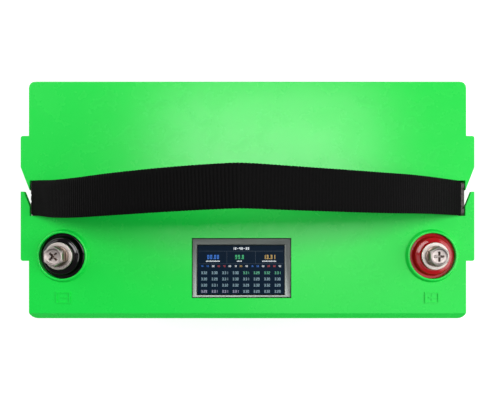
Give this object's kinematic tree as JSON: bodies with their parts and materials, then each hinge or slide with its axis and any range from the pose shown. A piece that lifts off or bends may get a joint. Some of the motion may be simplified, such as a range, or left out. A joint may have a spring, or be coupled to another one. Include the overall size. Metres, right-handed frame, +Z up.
{
  "type": "deep cycle battery",
  "caption": "Box-shaped green deep cycle battery with a webbing carry strap arched over its lid, screw terminals with black and red inserts, and a lid display.",
  "frame": {"origin": "centre of the case's base, on the ground", "axes": "+X along the length from the negative terminal's end to the positive one's, -Y towards the front with the terminals and display, +Z up"},
  "size_m": [0.33, 0.173, 0.2951],
  "materials": {
    "case_green": "bright green ABS, satin",
    "black_webbing": "black woven nylon webbing with cross ribs",
    "grey_plastic": "dark grey moulded plastic",
    "black_insert": "glossy black resin",
    "red_insert": "glossy red resin",
    "black_rubber": "black rubber",
    "stainless": "stainless steel",
    "tinned_brass": "tin plated brass",
    "brass": "plain brass",
    "plated_copper": "nickel plated copper",
    "aluminium": "mill finish aluminium",
    "screen_glass": "dark display window",
    "circuit_board": "green solder mask",
    "cell_wrap": "blue film wrap",
    "grey_sheet": "grey insulating sheet",
    "glass_board": "glass epoxy board",
    "foam": "dark foam",
    "black_lead": "black cable jacket",
    "red_lead": "red cable jacket"
  },
  "bodies": {
    "battery": {"case_tub": "case_green", "lid": "case_green", "lid_seal": "black_rubber", "display_bezel": "stainless", "display_panel": "screen_glass", "display_board": "circuit_board", "display_board_screw_1": "stainless", "display_board_screw_2": "stainless", "display_cable": "grey_plastic", "cell_1": "cell_wrap", "cell_2": "cell_wrap", "cell_3": "cell_wrap", "cell_4": "cell_wrap", "busbar_1": "plated_copper", "busbar_2": "plated_copper", "busbar_3": "plated_copper", "negative_output_bar": "plated_copper", "positive_output_bar": "plated_copper", "cell_separator_1": "grey_sheet", "cell_separator_2": "grey_sheet", "cell_separator_3": "grey_sheet", "end_plate_left": "glass_board", "end_plate_right": "glass_board", "end_foam_left": "foam", "end_foam_right": "foam", "cell_band_1": "stainless", "cell_band_2": "stainless", "bottom_pad": "foam", "insulating_deck": "glass_board", "bms_heat_sink": "aluminium", "bms_board": "circuit_board", "bms_cover": "aluminium", "bms_screw_1": "stainless", "bms_screw_2": "stainless", "bms_screw_3": "stainless", "bms_screw_4": "stainless", "negative_lead": "black_lead", "positive_lead": "red_lead", "cell_negative_lead": "black_lead", "sense_harness": "grey_plastic", "negative_terminal_insert": "black_insert", "negative_post": "tinned_brass", "negative_o_ring": "black_rubber", "negative_lug": "tinned_brass", "negative_post_nut": "brass", "positive_terminal_insert": "red_insert", "positive_post": "tinned_brass", "positive_o_ring": "black_rubber", "positive_lug": "tinned_brass", "positive_post_nut": "brass"},
    "strap": {"strap_webbing": "black_webbing"},
    "strap_end_left": {"strap_end_left": "grey_plastic"},
    "strap_end_right": {"strap_end_right": "grey_plastic"},
    "negative_washers": {"negative_flat_washer": "stainless", "negative_spring_washer": "stainless"},
    "negative_screw": {"negative_screw": "stainless"},
    "positive_washers": {"positive_flat_washer": "stainless", "positive_spring_washer": "stainless"},
    "positive_screw": {"positive_screw": "stainless"}
  },
  "joints": [
    {"name": "strap_lift", "type": "slide", "parent": "battery", "child": "strap", "axis": [0, 0, 1], "range_m": [-0.066, 0], "deforming": ["strap_webbing"]},
    {"name": "strap_end_left_feed", "type": "slide", "parent": "battery", "child": "strap_end_left", "axis": [0, 0, 1], "range_m": [-0.021, 0]},
    {"name": "strap_end_right_feed", "type": "slide", "parent": "battery", "child": "strap_end_right", "axis": [0, 0, 1], "range_m": [-0.021, 0]},
    {"name": "negative_screw_lift", "type": "slide", "parent": "battery", "child": "negative_washers", "axis": [0, 0, 1], "range_m": [0, 0.0135]},
    {"name": "negative_screw_turn", "type": "hinge", "parent": "negative_washers", "child": "negative_screw", "pos_m": [-0.134, -0.0405, 0.2265], "axis": [0, 0, 1], "range_deg": [0, 3240]},
    {"name": "positive_screw_lift", "type": "slide", "parent": "battery", "child": "positive_washers", "axis": [0, 0, 1], "range_m": [0, 0.0135]},
    {"name": "positive_screw_turn", "type": "hinge", "parent": "positive_washers", "child": "positive_screw", "pos_m": [0.134, -0.0405, 0.2265], "axis": [0, 0, 1], "range_deg": [0, 3240]}
  ],
  "couplings": [
    {"joint": "strap_end_left_feed", "follows": "strap_lift", "ratio": 0.31818},
    {"joint": "strap_end_right_feed", "follows": "strap_lift", "ratio": 0.31818},
    {"joint": "negative_screw_lift", "follows": "negative_screw_turn", "m_per_rad": 0.00019894},
    {"joint": "positive_screw_lift", "follows": "positive_screw_turn", "m_per_rad": 0.00019894}
  ]
}
